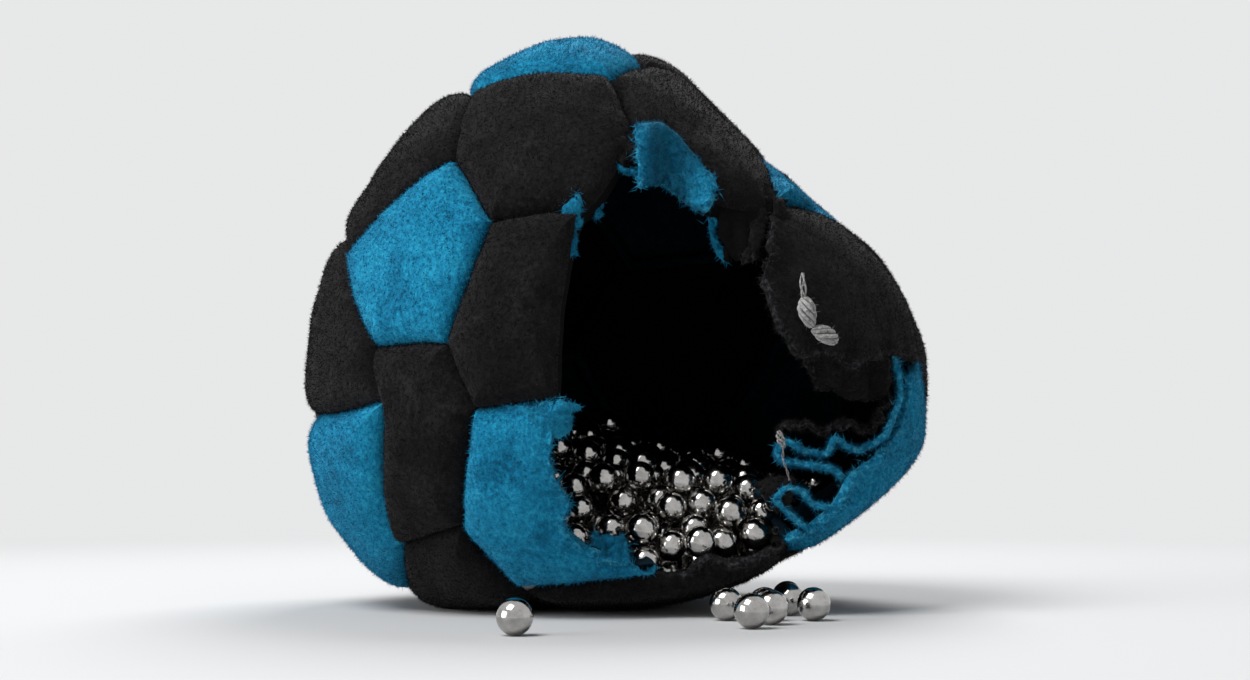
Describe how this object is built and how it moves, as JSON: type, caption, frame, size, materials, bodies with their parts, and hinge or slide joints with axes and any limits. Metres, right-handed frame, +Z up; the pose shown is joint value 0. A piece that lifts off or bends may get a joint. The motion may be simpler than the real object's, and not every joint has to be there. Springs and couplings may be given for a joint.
{
  "type": "footbag",
  "caption": "Palm-sized suede footbag of sewn pentagon and hexagon panels, torn open at the front, slumped on its steel shot with loose pellets before it.",
  "frame": {"origin": "on the floor, in the flat patch under the bag, below the middle of the bag's width and depth", "axes": "+Z up from the floor, -Y towards the torn mouth, +X to the right as one looks into the mouth"},
  "size_m": [0.0535, 0.0611, 0.0492],
  "materials": {
    "suede_blue": "napped suede, matt, frayed where torn",
    "suede_black": "napped suede, matt, frayed where torn",
    "steel_shot": "bright round shot",
    "thread": "twisted floss, soft, grey-white"
  },
  "bodies": {
    "bag": {"blue_upper_right": "suede_blue", "blue_top": "suede_blue", "blue_left": "suede_blue", "blue_lower_left": "suede_blue", "blue_lower_right": "suede_blue", "blue_back_top": "suede_blue", "blue_back_left": "suede_blue", "blue_side_low": "suede_blue", "blue_base": "suede_blue", "blue_back_right": "suede_blue", "blue_back": "suede_blue", "black_front_top_right": "suede_black", "black_front_top_left": "suede_black", "black_front_left": "suede_black", "black_front_right": "suede_black", "black_top_right": "suede_black", "black_top_left": "suede_black", "black_left": "suede_black", "black_lip": "suede_black", "black_right": "suede_black", "black_right_high": "suede_black", "black_crown_back": "suede_black", "black_side_left": "suede_black", "black_low_left": "suede_black", "black_low_right": "suede_black", "black_back_high": "suede_black", "black_back_left": "suede_black", "black_back_low_left": "suede_black", "black_back_low_right": "suede_black", "black_back_right": "suede_black", "black_torn_strip": "suede_black", "tongue_seam_strip": "suede_blue", "seam_thread": "thread", "loose_thread_end": "thread", "shot_heap": "steel_shot", "heap_pellet_01": "steel_shot", "heap_pellet_02": "steel_shot", "heap_pellet_03": "steel_shot", "heap_pellet_04": "steel_shot", "heap_pellet_05": "steel_shot", "heap_pellet_06": "steel_shot", "heap_pellet_07": "steel_shot", "heap_pellet_08": "steel_shot", "heap_pellet_09": "steel_shot", "heap_pellet_10": "steel_shot"},
    "tongue_flap": {"tongue": "suede_blue"},
    "pellet_left": {"loose_pellet_left": "steel_shot"},
    "pellet_lip": {"loose_pellet_lip": "steel_shot"},
    "pellet_front": {"loose_pellet_front": "steel_shot"},
    "pellet_middle": {"loose_pellet_middle": "steel_shot"},
    "pellet_inner": {"loose_pellet_inner": "steel_shot"},
    "pellet_right": {"loose_pellet_right": "steel_shot"},
    "pellet_behind": {"loose_pellet_behind": "steel_shot"},
    "pellet_hidden": {"loose_pellet_hidden": "steel_shot"}
  },
  "joints": [
    {"name": "tongue_swing", "type": "hinge", "parent": "bag", "child": "tongue_flap", "pos_m": [0.00151, -0.01926, 0.03747], "axis": [-0.8225, 0.1044, 0.5591], "range_deg": [-45, 80]},
    {"name": "pellet_left_roll", "type": "slide", "parent": "bag", "child": "pellet_left", "axis": [1, 0, 0], "range_m": [-0.01, 0.01]},
    {"name": "pellet_lip_roll", "type": "slide", "parent": "bag", "child": "pellet_lip", "axis": [-0.866, -0.5, 0], "range_m": [0, 0.01]},
    {"name": "pellet_front_roll", "type": "slide", "parent": "bag", "child": "pellet_front", "axis": [0, -1, 0], "range_m": [0, 0.01]},
    {"name": "pellet_middle_roll", "type": "slide", "parent": "bag", "child": "pellet_middle", "axis": [0.5, -0.866, 0], "range_m": [0, 0.01]},
    {"name": "pellet_inner_roll", "type": "slide", "parent": "bag", "child": "pellet_inner", "axis": [0.7314, -0.682, 0], "range_m": [0, 0.0009]},
    {"name": "pellet_right_roll", "type": "slide", "parent": "bag", "child": "pellet_right", "axis": [0.866, -0.5, 0], "range_m": [0, 0.01]},
    {"name": "pellet_behind_roll", "type": "slide", "parent": "bag", "child": "pellet_behind", "axis": [1, 0, 0], "range_m": [0, 0.008]},
    {"name": "pellet_hidden_roll", "type": "slide", "parent": "bag", "child": "pellet_hidden", "axis": [1, 0, 0], "range_m": [0, 0.008]}
  ]
}
